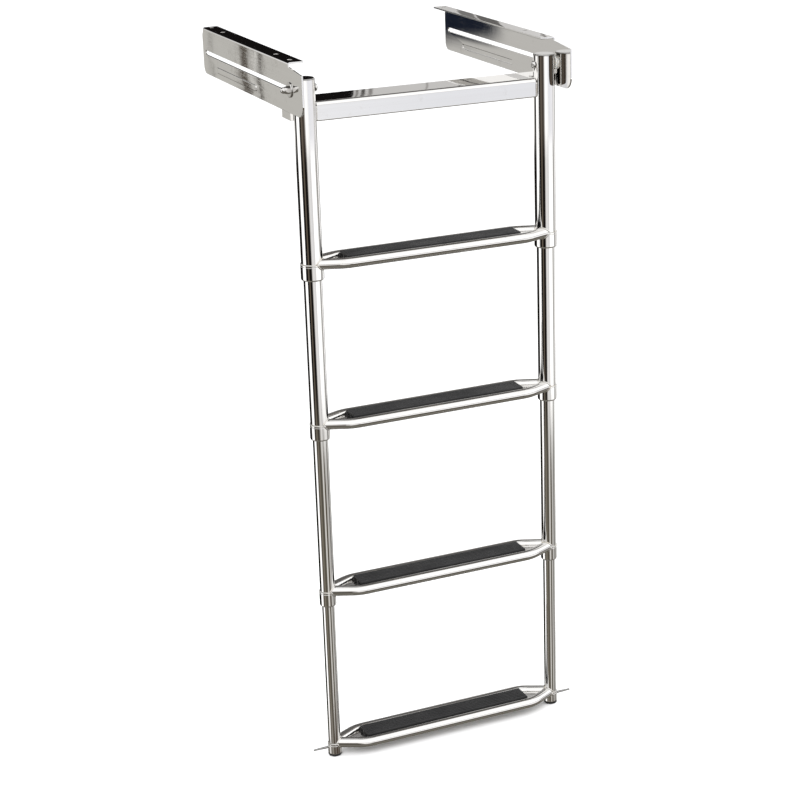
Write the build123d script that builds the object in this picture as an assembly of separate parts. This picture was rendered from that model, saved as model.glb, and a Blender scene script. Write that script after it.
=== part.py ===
from build123d import *
import os

# Telescoping boarding ladder with four steps that slides and folds under a swim platform.
# Millimetres. +Z is up, +X is the ladder's left-to-right width, -Y is outboard (towards the swimmer).
# The origin is the centre of the outer four mounting holes, on the top face of the track flanges,
# which is the face that is bolted against the underside of the platform.

# ---- driving dimensions -------------------------------------------------------------------------

# Tracks: one bent sheet on each side
SHEET = 2.5
WEB_OUTER_X = 211.0
WEB_INNER_X = WEB_OUTER_X - SHEET
FLANGE_WIDTH = 24.0
FLANGE_FRONT_Y = -199.5
FLANGE_BACK_Y = 189.0
WEB_FRONT_Y = -253.0
WEB_BACK_Y = 193.0
WEB_HEIGHT = 72.0
NOSE_STEP = 6.0             # how far the web's nose lies below the flange
NOSE_DROP = 11.5            # the same at the very front
BEND_RADIUS = 3.5
NOSE_RADIUS = 18.0
HEEL_RADIUS = 12.0
MOUNT_X = 200.0
MOUNT_OUTER_Y = 178.0
MOUNT_INNER_Y = 121.0
MOUNT_HOLE_R = 3.5
SLOT_WIDTH = 7.0
SLOT_BACK_Y = 178.0
BEAD_Z = -58.5
BEAD_WIDTH = 9.0
BEAD_Y = (-55.0, 122.0)
BEAD_DEPTH = 1.2

# Pivot, which also slides along the slots
PIVOT_Y = -203.0
PIVOT_Z = -38.0
BOLT_R = 3.0
BOLT_HEAD_R = 5.5
BOLT_HEAD_H = 3.6
BOLT_END_X = 221.0
WASHER_R = 11.0
WASHER_H = 1.6
NUT_FLATS = 10.0
NUT_HEX_H = 6.0
NUT_NECK = 1.5
NUT_DOME_R = 4.6
SLIDE_WASHER_R = 10.0
SLIDE_WASHER_H = 2.0
FACE_GAP = 0.25             # between flat faces that slide past each other
PIVOT_CLEARANCE = 0.06      # radial, bolt in tube

# Legs: four tube sizes that nest in each other
LEG_X = 190.0
TUBE_R = (16.0, 13.75, 11.5, 9.5)
TUBE_WALL = 1.2
TUBE_TOP_Z = -25.0
STEP_Z = (-294.0, -541.0, -812.0, -1072.0)      # centre height of each step's rails
COLLAR_H = 24.0
LAST_COLLAR_H = 18.0
COLLAR_WALL = (1.2, 1.2, 1.2, 1.0)
COLLAR_LIP = 4.0
COLLAR_ROUND = 2.6
SLIDING_GAP = 0.3           # radial, tube in bush or sleeve in tube
BUSH_H = 20.0
SLEEVE_H = 12.0
STOP_GAP = 0.3
TUBE_END = 2.0              # tube left over above its stop sleeve
CAP_H = 2.2
CAP_SPIGOT = 7.0
PLUG_RIM_H = 2.4
PLUG_SPIGOT = 9.0
SIDE_PIN_LENGTH = 25.0
SIDE_PIN_ROOT_R = 2.0
SIDE_PIN_TIP_R = 1.3
SIDE_PIN_DROP = 6.0         # below the last step's rails

# Crossbar: a folded tray between and behind the upper tubes
BAR_TOP_Z = -58.0
BAR_HEIGHT = 28.0
BAR_FRONT_Y = PIVOT_Y - 6.0
BAR_STEP_Y = PIVOT_Y + 17.5
BAR_BACK_Y = PIVOT_Y + 52.0
BAR_FRONT_X = LEG_X - TUBE_R[0] - 0.1
BAR_BACK_X = 206.0
BAR_SHEET = 2.0
BAR_EDGE_RADIUS = 5.5

# Steps
RAIL_R = 8.0
RAIL_WALL = 1.2
RAIL_Y = 23.0               # half the distance between the two rails
RAIL_BEND_X = 146.0
RAIL_BEND_RADIUS = 50.0
RAIL_LEG_INSET = 9.0        # the rails run out this far inside the leg's side, level with its axis
COPE_GAP = 0.02
TRAY_H = 1.5
WELD_GAP = 0.1
PAD_HALF_LENGTH = 140.0
PAD_BASE_Y = 14.2
PAD_TOP_Y = 17.0
PAD_TOP = 8.0               # above the rails' centre, without the ribs
PAD_EDGE = 1.2              # height of the upright edge and of the foot's edge
PAD_WALL = 2.6
PAD_ROOF = 2.8
PAD_SPINE_Y = 4.0           # half width of the solid middle, which the rivets go into
RIB_COUNT = 7
RIB_HEIGHT = 1.2
RIB_PITCH = 4.7
RIB_TOP_WIDTH = 1.7
RIB_FOOT_WIDTH = 2.9
RIVET_X = (-105.0, 0.0, 105.0)
RIVET_R = 1.6
RIVET_HEAD_R = 3.6
RIVET_HEAD_H = 1.6
RIVET_DEPTH = 4.0

SIDES = (("left", -1), ("right", 1))
STAGES = ("upper", "second", "third", "lower")

os.makedirs("parts", exist_ok=True)


# ---- helpers ------------------------------------------------------------------------------------

def save(node, *solids):
    """Writes one node; several equal pieces go in as a group of separate solids."""
    shape = solids[0] if len(solids) == 1 else Compound(children=list(solids))
    export_step(shape, f"parts/{node}.step")


def on_side(shape, side):
    """A shape made for the +X side, on its own side."""
    return shape if side > 0 else mirror(shape, about=Plane.YZ)


def rod_z(radius, z_low, z_high, x=0.0, y=PIVOT_Y):
    """Upright round rod."""
    height = z_high - z_low
    return Pos(x, y, z_low + height / 2) * Cylinder(radius, height)


def ring_z(radius, bore, z_low, z_high, x=LEG_X):
    """Upright ring round a leg's axis."""
    return rod_z(radius, z_low, z_high, x) - rod_z(bore, z_low - 1, z_high + 1, x)


def rod_x(radius, x_low, x_high, y=PIVOT_Y, z=PIVOT_Z):
    """Round rod along X."""
    length = x_high - x_low
    return Pos(x_low + length / 2, y, z) * Rot(0, 90, 0) * Cylinder(radius, length)


def plate_yz(outline, x_low, x_high):
    """Flat plate between two X planes, from an outline in Y and Z."""
    return extrude(Plane.YZ.offset(x_low) * outline, x_high - x_low)


def slot_yz(y_front, y_back, z, width):
    """Round-ended slot outline along Y."""
    return Pos((y_front + y_back) / 2, z) * SlotCenterToCenter(y_back - y_front, width)


# ---- tracks -------------------------------------------------------------------------------------

def track():
    """Bent track: flange for the platform, web with the long slot, nose that carries the pivot."""
    outline = make_face(Polyline(
        (FLANGE_FRONT_Y, 0),
        (FLANGE_BACK_Y, 0),
        (FLANGE_BACK_Y, -NOSE_STEP),
        (WEB_BACK_Y, -NOSE_DROP),
        (WEB_BACK_Y, -WEB_HEIGHT),
        (WEB_FRONT_Y, -WEB_HEIGHT),
        (WEB_FRONT_Y, -NOSE_DROP),
        (FLANGE_FRONT_Y, -NOSE_STEP),
        close=True,
    ))
    bottom = outline.vertices().group_by(Axis.Y)[0].sort_by(Axis.X)
    outline = fillet(bottom[0], NOSE_RADIUS)
    heel = outline.vertices().group_by(Axis.Y)[0].sort_by(Axis.X)[-1]
    outline = fillet(heel, HEEL_RADIUS)
    body = plate_yz(outline, WEB_INNER_X, WEB_OUTER_X)

    length = FLANGE_BACK_Y - FLANGE_FRONT_Y
    flange = Pos(WEB_OUTER_X - FLANGE_WIDTH / 2, FLANGE_FRONT_Y + length / 2, -SHEET / 2)
    body += flange * Box(FLANGE_WIDTH, length, SHEET)
    along = body.edges().filter_by(Axis.Y)
    outer_bend = along.filter_by_position(Axis.X, WEB_OUTER_X, WEB_OUTER_X).sort_by(Axis.Z)[-1]
    body = fillet(outer_bend, BEND_RADIUS)
    along = body.edges().filter_by(Axis.Y)
    inner_bend = along.filter_by_position(Axis.X, WEB_INNER_X, WEB_INNER_X).sort_by(Axis.Z)[-1]
    body = fillet(inner_bend, BEND_RADIUS - SHEET)

    body += bead(WEB_OUTER_X, WEB_OUTER_X + BEAD_DEPTH, BEAD_WIDTH)
    body -= bead(WEB_INNER_X - 1, WEB_INNER_X + BEAD_DEPTH, BEAD_WIDTH - BEAD_DEPTH)
    slot = slot_yz(PIVOT_Y - 1, SLOT_BACK_Y, PIVOT_Z, SLOT_WIDTH)
    body -= plate_yz(slot, WEB_INNER_X - 1, WEB_OUTER_X + 1)
    for y in (-MOUNT_OUTER_Y, -MOUNT_INNER_Y, MOUNT_INNER_Y, MOUNT_OUTER_Y):
        body -= rod_z(MOUNT_HOLE_R, -SHEET - 1, 1, MOUNT_X, y)
    return body


def bead(x_low, x_high, width):
    """Stiffening bead pressed outwards in the lower half of the web."""
    ridge = plate_yz(slot_yz(*BEAD_Y, BEAD_Z, width), x_low, x_high)
    return fillet(ridge.faces().sort_by(Axis.X)[-1].edges(), BEAD_DEPTH * 0.8)


# ---- pivot carriage -----------------------------------------------------------------------------

def pivot_bolt():
    """Button-head bolt from inside the ladder, through the tube and the slot."""
    face_x = LEG_X - TUBE_R[0] - FACE_GAP
    head = rod_x(BOLT_HEAD_R, face_x - BOLT_HEAD_H, face_x)
    head = fillet(head.edges().sort_by(Axis.X)[0], BOLT_HEAD_H * 0.75)
    socket = Pos(face_x - BOLT_HEAD_H, PIVOT_Y, PIVOT_Z) * Rot(0, 90, 0)
    head -= socket * extrude(RegularPolygon(BOLT_R * 0.62, 6), BOLT_HEAD_H * 0.5)
    return head + rod_x(BOLT_R, face_x, BOLT_END_X)


def acorn_nut():
    """Domed nut on the outer end of the bolt."""
    base_x = WEB_OUTER_X + FACE_GAP + WASHER_H
    base = Pos(base_x, PIVOT_Y, PIVOT_Z) * Rot(0, 90, 0)
    hexagon = base * extrude(RegularPolygon(NUT_FLATS / 2, 6, major_radius=False), NUT_HEX_H)
    chamfer_cone = Pos(base_x + NUT_HEX_H / 2, PIVOT_Y, PIVOT_Z) * Rot(0, 90, 0)
    hexagon &= chamfer_cone * Cone(NUT_FLATS * 0.62, NUT_FLATS * 0.5, NUT_HEX_H)
    dome_x = base_x + NUT_HEX_H + NUT_NECK
    neck = rod_x(NUT_DOME_R, base_x, dome_x)
    dome = Pos(dome_x, PIVOT_Y, PIVOT_Z) * Sphere(NUT_DOME_R)
    return hexagon + neck + dome - rod_x(BOLT_R, base_x - 1, BOLT_END_X)


def washer():
    """Wide steel washer between the web and the nut."""
    low = WEB_OUTER_X + FACE_GAP
    disc = rod_x(WASHER_R, low, low + WASHER_H)
    disc = chamfer(disc.edges().sort_by(Axis.X)[-1], WASHER_H * 0.3)
    return disc - rod_x(BOLT_R, low - 1, low + WASHER_H + 1)


def slide_washer():
    """Nylon washer that keeps the tube off the web and runs along it."""
    middle = (LEG_X + TUBE_R[0] + WEB_INNER_X) / 2
    low = middle - SLIDE_WASHER_H / 2
    return rod_x(SLIDE_WASHER_R, low, low + SLIDE_WASHER_H) - rod_x(BOLT_R, low - 1, middle + 2)


# ---- legs ---------------------------------------------------------------------------------------

def collar_bottom(stage):
    """Height of the lower end of a stage."""
    return STEP_Z[stage] - (COLLAR_H if stage < 3 else LAST_COLLAR_H)


def tube_bottom(stage):
    return collar_bottom(stage) + COLLAR_LIP


def tube_top(stage):
    """The upper tubes end above the pivot; each other tube ends just above its stop sleeve."""
    if stage == 0:
        return TUBE_TOP_Z
    return sleeve_bottom(stage) + SLEEVE_H + TUBE_END


def sleeve_bottom(stage):
    """A stop sleeve rests on the guide bush of the stage above when the ladder is pulled out."""
    return tube_bottom(stage - 1) + BUSH_H + STOP_GAP


def tube(stage):
    """One leg tube of a stage."""
    radius = TUBE_R[stage]
    pipe = ring_z(radius, radius - TUBE_WALL, tube_bottom(stage), tube_top(stage))
    if stage == 0:
        pipe -= rod_x(BOLT_R + PIVOT_CLEARANCE, LEG_X - radius - 1, LEG_X + radius + 1)
    return pipe


def collar(stage):
    """Turned collar on the lower end of a tube, with an inward lip and a rounded lower edge."""
    radius = TUBE_R[stage]
    low = collar_bottom(stage)
    outer = rod_z(radius + COLLAR_WALL[stage], low, STEP_Z[stage], LEG_X)
    outer = fillet(outer.edges().sort_by(Axis.Z)[0], COLLAR_ROUND)
    outer = fillet(outer.edges().sort_by(Axis.Z)[-1], COLLAR_WALL[stage] * 0.6)
    lip_bore = TUBE_R[stage + 1] + SLIDING_GAP if stage < 3 else radius - TUBE_WALL
    outer -= rod_z(radius, low + COLLAR_LIP, STEP_Z[stage] + 1, LEG_X)
    return outer - rod_z(lip_bore, low - 1, low + COLLAR_LIP + 1, LEG_X)


def guide_bush(stage):
    """Nylon bush in the lower end of a tube, which the next smaller tube runs in."""
    low = tube_bottom(stage)
    return ring_z(TUBE_R[stage] - TUBE_WALL, TUBE_R[stage + 1] + SLIDING_GAP, low, low + BUSH_H)


def stop_sleeve(stage):
    """Nylon sleeve on the upper end of a tube; it guides the tube and stops it coming out."""
    low = sleeve_bottom(stage)
    outer = TUBE_R[stage - 1] - TUBE_WALL - SLIDING_GAP
    return ring_z(outer, TUBE_R[stage], low, low + SLEEVE_H)


def top_cap():
    """Cap pressed into the open top of an upper tube."""
    radius = TUBE_R[0]
    disc = rod_z(radius, TUBE_TOP_Z, TUBE_TOP_Z + CAP_H, LEG_X)
    disc = fillet(disc.edges().sort_by(Axis.Z)[-1], CAP_H * 0.6)
    return disc + rod_z(radius - TUBE_WALL, TUBE_TOP_Z - CAP_SPIGOT, TUBE_TOP_Z, LEG_X)


def end_plug():
    """Black plug in the lower end of the last tube, with a rim that protects what it touches."""
    low = collar_bottom(3)
    rim_r = TUBE_R[3] + COLLAR_WALL[3]
    rim = rod_z(rim_r, low - PLUG_RIM_H, low, LEG_X)
    rim = fillet(rim.edges().sort_by(Axis.Z)[0], PLUG_RIM_H * 0.8)
    return rim + rod_z(TUBE_R[3] - TUBE_WALL, low, low + PLUG_SPIGOT, LEG_X)


def side_pin():
    """Tapered pin welded to the last collar; it meets the nose of the track when stowed."""
    z = STEP_Z[3] - SIDE_PIN_DROP
    root_x = LEG_X + TUBE_R[3]
    length = SIDE_PIN_LENGTH + COLLAR_WALL[3]
    pin = Pos(root_x + length / 2, PIVOT_Y, z) * Rot(0, 90, 0)
    pin *= Cone(SIDE_PIN_ROOT_R, SIDE_PIN_TIP_R, length)
    pin = fillet(pin.edges().sort_by(Axis.X)[-1], SIDE_PIN_TIP_R * 0.7)
    return pin - rod_z(TUBE_R[3] + COLLAR_WALL[3], z - SIDE_PIN_DROP, z + SIDE_PIN_DROP, LEG_X)


# ---- crossbar -----------------------------------------------------------------------------------

def crossbar():
    """Folded tray, open below. Its wide back part runs behind the tubes."""
    def outline(inset):
        front_x, back_x = BAR_FRONT_X - inset, BAR_BACK_X - inset
        front_y, step_y, back_y = BAR_FRONT_Y + inset, BAR_STEP_Y + inset, BAR_BACK_Y - inset
        return make_face(Polyline(
            (-front_x, front_y), (front_x, front_y), (front_x, step_y), (back_x, step_y),
            (back_x, back_y), (-back_x, back_y), (-back_x, step_y), (-front_x, step_y),
            close=True,
        ))

    def block(inset, top_z, edge_radius):
        solid = extrude(Pos(0, 0, BAR_TOP_Z - BAR_HEIGHT) * outline(inset), top_z - BAR_TOP_Z + BAR_HEIGHT)
        front_edge = solid.edges().filter_by(Axis.X).group_by(Axis.Y)[0].sort_by(Axis.Z)[-1]
        return fillet(front_edge, edge_radius)

    hollow = block(BAR_SHEET, BAR_TOP_Z - BAR_SHEET, BAR_EDGE_RADIUS - BAR_SHEET)
    return block(0, BAR_TOP_Z, BAR_EDGE_RADIUS) - hollow


# ---- steps --------------------------------------------------------------------------------------

def rail_path(stage, front):
    """Centreline of one rail: straight in the middle, drawn in towards the legs at both ends."""
    z = STEP_Z[stage]
    end_y = TUBE_R[stage] - RAIL_LEG_INSET
    sign = -1 if front else 1
    points = [
        (-LEG_X, PIVOT_Y + sign * end_y, z),
        (-RAIL_BEND_X, PIVOT_Y + sign * RAIL_Y, z),
        (RAIL_BEND_X, PIVOT_Y + sign * RAIL_Y, z),
        (LEG_X, PIVOT_Y + sign * end_y, z),
    ]
    return FilletPolyline(*points, radius=RAIL_BEND_RADIUS)


def rod_along(path, radius):
    """Round rod along a path."""
    return sweep(Plane(origin=path @ 0, z_dir=path % 0) * Circle(radius), path=path)


def leg_envelope(stage, extra):
    """The outside of both legs near a step, grown by a small gap."""
    z = STEP_Z[stage]
    reach = 4 * RAIL_R
    shape = None
    for _, side in SIDES:
        leg = rod_z(TUBE_R[stage] + extra, z - reach, z + reach, side * LEG_X)
        leg += rod_z(TUBE_R[stage] + COLLAR_WALL[stage] + extra, z - reach, z, side * LEG_X)
        shape = leg if shape is None else shape + leg
    return shape


def rail(stage, front):
    """Bent tube of a step; its ends are coped round the legs and mitred against the other rail."""
    path = rail_path(stage, front)
    pipe = rod_along(path, RAIL_R) - rod_along(path, RAIL_R - RAIL_WALL)
    coped = pipe - leg_envelope(stage, COPE_GAP)
    other_side = 1 if front else -1
    other_half = Box(3 * LEG_X, 2 * RAIL_Y, 4 * RAIL_R)
    coped -= Pos(0, PIVOT_Y + other_side * (RAIL_Y - COPE_GAP), STEP_Z[stage]) * other_half
    return coped.solids().sort_by(SortBy.VOLUME)[-1]


def tray(stage):
    """Plate between the rails that carries the pad, welded in level with their centres."""
    z = STEP_Z[stage]
    hexagon = make_face(Polyline(
        (-LEG_X, PIVOT_Y), (-RAIL_BEND_X, PIVOT_Y - RAIL_Y), (RAIL_BEND_X, PIVOT_Y - RAIL_Y),
        (LEG_X, PIVOT_Y), (RAIL_BEND_X, PIVOT_Y + RAIL_Y), (-RAIL_BEND_X, PIVOT_Y + RAIL_Y),
        close=True,
    ))
    plate = extrude(Pos(0, 0, z - TRAY_H / 2) * hexagon, TRAY_H)
    for front in (True, False):
        plate -= rod_along(rail_path(stage, front), RAIL_R + WELD_GAP)
    plate = (plate - leg_envelope(stage, WELD_GAP)).solids().sort_by(SortBy.VOLUME)[-1]
    for x in RIVET_X:
        plate -= rod_z(RIVET_R, z - 5, z + 5, x)
    return plate


def tread_pad(stage):
    """Ribbed rubber pad between the rails, with a hollow channel on each side of its spine."""
    base = TRAY_H / 2
    points = [
        (-PAD_BASE_Y, base), (-PAD_BASE_Y, base + PAD_EDGE),
        (-PAD_TOP_Y, PAD_TOP - PAD_EDGE), (-PAD_TOP_Y, PAD_TOP),
    ]
    for i in range(RIB_COUNT):
        y = (i - (RIB_COUNT - 1) / 2) * RIB_PITCH
        top, foot = RIB_TOP_WIDTH / 2, RIB_FOOT_WIDTH / 2
        points += [(y - foot, PAD_TOP), (y - top, PAD_TOP + RIB_HEIGHT)]
        points += [(y + top, PAD_TOP + RIB_HEIGHT), (y + foot, PAD_TOP)]
    points += [
        (PAD_TOP_Y, PAD_TOP), (PAD_TOP_Y, PAD_TOP - PAD_EDGE),
        (PAD_BASE_Y, base + PAD_EDGE), (PAD_BASE_Y, base),
    ]
    section = make_face(Polyline(*points, close=True))
    roof = PAD_TOP - PAD_ROOF
    for _, side in SIDES:
        section -= make_face(Polyline(
            (side * PAD_SPINE_Y, base), (side * (PAD_BASE_Y - PAD_WALL), base),
            (side * (PAD_TOP_Y - PAD_WALL), roof), (side * PAD_SPINE_Y, roof),
            close=True,
        ))
    pad = plate_yz(Pos(PIVOT_Y, STEP_Z[stage]) * section, -PAD_HALF_LENGTH, PAD_HALF_LENGTH)
    for x in RIVET_X:
        pad -= rod_z(RIVET_R, STEP_Z[stage], STEP_Z[stage] + base + RIVET_DEPTH, x)
    return pad


def pad_rivets(stage):
    """Rivets that hold the pad from below, through the tray."""
    z = STEP_Z[stage]
    rivets = []
    for x in RIVET_X:
        head = rod_z(RIVET_HEAD_R, z - TRAY_H / 2 - RIVET_HEAD_H, z - TRAY_H / 2, x)
        head = fillet(head.edges().sort_by(Axis.Z)[0], RIVET_HEAD_H * 0.7)
        rivets.append(head + rod_z(RIVET_R, z - TRAY_H / 2, z + TRAY_H / 2 + RIVET_DEPTH, x))
    return rivets


# ---- the nodes ----------------------------------------------------------------------------------

for name, side in SIDES:
    save(f"{name}_track", on_side(track(), side))
    save(f"{name}_pivot_bolt", on_side(pivot_bolt(), side))
    save(f"{name}_top_cap", on_side(top_cap(), side))
    save(f"{name}_end_plug", on_side(end_plug(), side))
    save(f"{name}_side_pin", on_side(side_pin(), side))
    for stage, stage_name in enumerate(STAGES):
        save(f"{name}_{stage_name}_tube", on_side(tube(stage), side))
        save(f"{name}_{stage_name}_collar", on_side(collar(stage), side))

save("acorn_nuts", *[on_side(acorn_nut(), side) for _, side in SIDES])
save("outer_washers", *[on_side(washer(), side) for _, side in SIDES])
save("slide_washers", *[on_side(slide_washer(), side) for _, side in SIDES])
save("crossbar", crossbar())

for stage, stage_name in enumerate(STAGES):
    if stage < 3:
        save(f"{stage_name}_guide_bushes", *[on_side(guide_bush(stage), side) for _, side in SIDES])
    if stage > 0:
        save(f"{stage_name}_stop_sleeves", *[on_side(stop_sleeve(stage), side) for _, side in SIDES])
    save(f"step_{stage + 1}_front_rail", rail(stage, front=True))
    save(f"step_{stage + 1}_back_rail", rail(stage, front=False))
    save(f"step_{stage + 1}_tray", tray(stage))
    save(f"step_{stage + 1}_tread_pad", tread_pad(stage))
    save(f"step_{stage + 1}_pad_rivets", *pad_rivets(stage))
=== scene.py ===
import math

import bmesh
import bpy
import numpy as np
from mathutils import Matrix, Vector


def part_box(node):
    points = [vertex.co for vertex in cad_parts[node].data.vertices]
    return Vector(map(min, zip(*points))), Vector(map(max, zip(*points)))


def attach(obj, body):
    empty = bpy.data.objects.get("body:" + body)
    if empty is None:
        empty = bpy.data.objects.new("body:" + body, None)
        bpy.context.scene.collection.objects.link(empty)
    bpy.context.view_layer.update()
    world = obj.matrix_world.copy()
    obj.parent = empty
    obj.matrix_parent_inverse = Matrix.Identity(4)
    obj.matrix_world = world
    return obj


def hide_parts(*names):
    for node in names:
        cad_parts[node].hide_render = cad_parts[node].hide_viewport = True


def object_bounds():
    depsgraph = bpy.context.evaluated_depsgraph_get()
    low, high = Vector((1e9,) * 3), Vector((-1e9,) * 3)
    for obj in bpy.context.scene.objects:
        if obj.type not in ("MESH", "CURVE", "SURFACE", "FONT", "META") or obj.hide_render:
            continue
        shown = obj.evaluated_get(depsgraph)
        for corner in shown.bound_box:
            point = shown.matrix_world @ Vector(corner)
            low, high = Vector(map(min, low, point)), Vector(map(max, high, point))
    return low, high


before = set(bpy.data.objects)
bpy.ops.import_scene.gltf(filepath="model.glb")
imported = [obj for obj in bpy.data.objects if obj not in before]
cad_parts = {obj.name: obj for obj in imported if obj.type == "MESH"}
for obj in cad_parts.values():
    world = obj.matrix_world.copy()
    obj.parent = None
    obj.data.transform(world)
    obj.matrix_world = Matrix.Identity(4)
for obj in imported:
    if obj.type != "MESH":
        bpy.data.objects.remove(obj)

# Boarding ladder in mirror-polished stainless steel: four steps on nesting tubes, which slide and
# fold under a swim platform. Metres. +Z is up, +X runs across the ladder, -Y is outboard, and the
# origin is on top of the track flanges.

cad_low, cad_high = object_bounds()
MM = 0.001

SIDES = (("left", -1), ("right", 1))
STAGES = ("upper", "second", "third", "lower")
BODIES = ("upper_frame", "second_stage", "third_stage", "lower_stage")
LAST = len(STAGES) - 1


# ---- sizes, read from the frame where it has them -----------------------------------------------

def middle(node):
    low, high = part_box(node)
    return (low + high) / 2


def half_size(node, axis):
    """Half a node's size along X (0), Y (1) or Z (2)."""
    low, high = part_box(node)
    return (high[axis] - low[axis]) / 2


# Sharp edges of sheet and bolts
TRACK_EDGE = 0.35 * MM
BOLT_EDGE = 0.18 * MM
WASHER_EDGE = 0.15 * MM
BAR_EDGE = 0.45 * MM
BAR_FOOT_ROLL = 1.7 * MM        # the front apron's foot, which is rolled round
BAR_LOW, BAR_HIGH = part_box("crossbar")

# Legs
LEG_X = middle("right_upper_tube").x
LEG_Y = middle("right_upper_tube").y
TUBE_R = [half_size(f"right_{stage}_tube", 0) for stage in STAGES]
TUBE_WALL = 1.2 * MM

# Collars
COLLAR_R = [half_size(f"right_{stage}_collar", 0) for stage in STAGES]
COLLAR_Z = [[corner.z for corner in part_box(f"right_{stage}_collar")] for stage in STAGES]
COLLAR_LIP = 4.0 * MM           # height of the floor that the tube stands on
COLLAR_FIT = 0.02 * MM          # radial, tube in collar
GUIDE_GAP = 0.3 * MM            # radial, next tube in the floor's bore
BEAD_H = 2.0 * MM               # rolled bead round the top
GROOVE_H = 1.1 * MM
GROOVE_FLANK = 0.3 * MM
GROOVE_DEPTH = 0.35 * MM

# Rails: two to a step, parallel in the middle and bent in towards the legs at their ends
STEP_Z = [top for _, top in COLLAR_Z]
RAIL_R = half_size("step_1_front_rail", 2)
RAIL_Y = LEG_Y - (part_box("step_1_front_rail")[0].y + RAIL_R)    # half the distance between the two
RAIL_BEND_X = 146 * MM
RAIL_BEND_RADIUS = 50 * MM
RAIL_LEG_INSET = 9 * MM         # from a leg's side in to a rail's centre, level with the leg's axis
RAIL_ROOT_Y = [radius - RAIL_LEG_INSET for radius in TUBE_R]    # half the distance at the legs
TRAY_HALF = half_size("step_1_tray", 2)

# Tread pads; heights are above the rails' centre
PAD_LOW, PAD_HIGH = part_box("step_1_tread_pad")
PAD_LENGTH = PAD_HIGH.x - PAD_LOW.x
PAD_BASE = PAD_LOW.z - STEP_Z[0]
PAD_CROWN = PAD_HIGH.z - STEP_Z[0]
PAD_HALF_WIDTH = (PAD_HIGH.y - PAD_LOW.y) / 2
PAD_FOOT_INSET = 2.8 * MM       # how much narrower the pad is at its base, on each side
PAD_EDGE = 1.2 * MM             # height of the upright edges
PAD_WALL = 2.6 * MM
PAD_ROOF = 2.8 * MM
PAD_FLOOR = 1.0 * MM
PAD_SPINE_Y = 4.0 * MM          # half width of the solid middle, between the two hollows
PAD_HOLLOW_DEPTH = 16 * MM
RIB_COUNT = 7
RIB_PITCH = 4.7 * MM
RIB_HEIGHT = 1.2 * MM
RIB_FOOT_HALF = 1.45 * MM
RIB_TOP_HALF = 0.9 * MM
PAD_TOP = PAD_CROWN - RIB_HEIGHT

# Weld beads: their radii, the short stitches under the trays, and how fine the lines are
LEG_BEAD = 1.15 * MM
FORK_BEAD = 0.9 * MM
TRAY_BEAD = 0.7 * MM
STITCH_BEAD = 1.0 * MM
COLLAR_BEAD = 0.75 * MM
PIN_BEAD = 0.6 * MM
BAR_FRONT_BEAD = 1.3 * MM
BAR_TOP_BEAD = 1.0 * MM
STITCH_X = (-120 * MM, -60 * MM, 0, 60 * MM, 120 * MM)
STITCH_HALF = 11 * MM
PIN_SEAM_R = 2.1 * MM
PIN_Z = middle("right_side_pin").z
SEAM_POINT_GAP = 0.45 * MM
SEAM_PROUD = 0.45 * MM          # from a tube's face to the middle of a bead on it
BEAD_SIDES = 12
BEAD_TIP = 0.2                  # share of its radius that an open bead keeps at its tips
RIPPLE = 1.7 * MM
RIPPLE_SHARE = 0.1


# ---- mesh helpers -------------------------------------------------------------------------------

def new_object(name, data):
    obj = bpy.data.objects.new(name, data)
    bpy.context.scene.collection.objects.link(obj)
    return obj


def mesh_from(name, points, faces, normals=None):
    """Smooth-shaded mesh; normals, where given, are the true ones of the curved surface."""
    mesh = bpy.data.meshes.new(name)
    mesh.from_pydata([tuple(p) for p in points], [], faces)
    mesh.update()
    mesh.polygons.foreach_set("use_smooth", [True] * len(mesh.polygons))
    if normals is not None:
        mesh.normals_split_custom_set_from_vertices([tuple(n) for n in normals])
    return mesh


def circle(count):
    """(cosine, sine) of directions evenly spaced round a full turn."""
    return [(math.cos(a), math.sin(a)) for a in np.linspace(0, 2 * math.pi, count, endpoint=False)]


def ring_faces(a, b, count, shift=0):
    """Quads between two rings of points that start at a and b; shift turns the second ring."""
    return [
        (a + k, a + (k + 1) % count, b + (k + 1 + shift) % count, b + (k + shift) % count)
        for k in range(count)
    ]


def distances(line):
    """Distance of each point from the first, along the line."""
    return np.concatenate([[0], np.cumsum(np.linalg.norm(np.diff(line, axis=0), axis=1))])


def evenly_spaced(line):
    """The same line with its points SEAM_POINT_GAP apart."""
    line = np.array(line)
    along = distances(line)
    at = np.linspace(0, along[-1], max(6, int(along[-1] / SEAM_POINT_GAP)))
    return np.stack([np.interp(at, along, values) for values in line.T], axis=1)


def rounded(corners, closed=True, step_deg=12):
    """Outline through (x, y, fillet radius) corners: its points and right-hand normals, which
    point outwards where the outline runs anticlockwise."""
    points, normals = [], []
    count = len(corners)
    for i, (x, y, radius) in enumerate(corners):
        corner = np.array((x, y))
        before = corner - np.array(corners[i - 1][:2])
        after = np.array(corners[(i + 1) % count][:2]) - corner
        if not closed and i in (0, count - 1):
            along = after if i == 0 else before
            along = along / np.linalg.norm(along)
            points.append(corner)
            normals.append((along[1], -along[0]))
            continue
        before, after = before / np.linalg.norm(before), after / np.linalg.norm(after)
        turn = math.atan2(before[0] * after[1] - before[1] * after[0], before @ after)
        bend = 1 if turn > 0 else -1
        start = corner - before * radius * math.tan(abs(turn) / 2)
        centre = start + bend * radius * np.array((-before[1], before[0]))
        steps = max(2, math.ceil(math.degrees(abs(turn)) / step_deg) + 1)
        for angle in np.linspace(0, turn, steps):
            c, s = math.cos(angle), math.sin(angle)
            out = np.array((c * before[1] + s * before[0], s * before[1] - c * before[0]))
            points.append(centre + bend * radius * out)
            normals.append(out)
    return np.array(points), np.array(normals)


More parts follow.
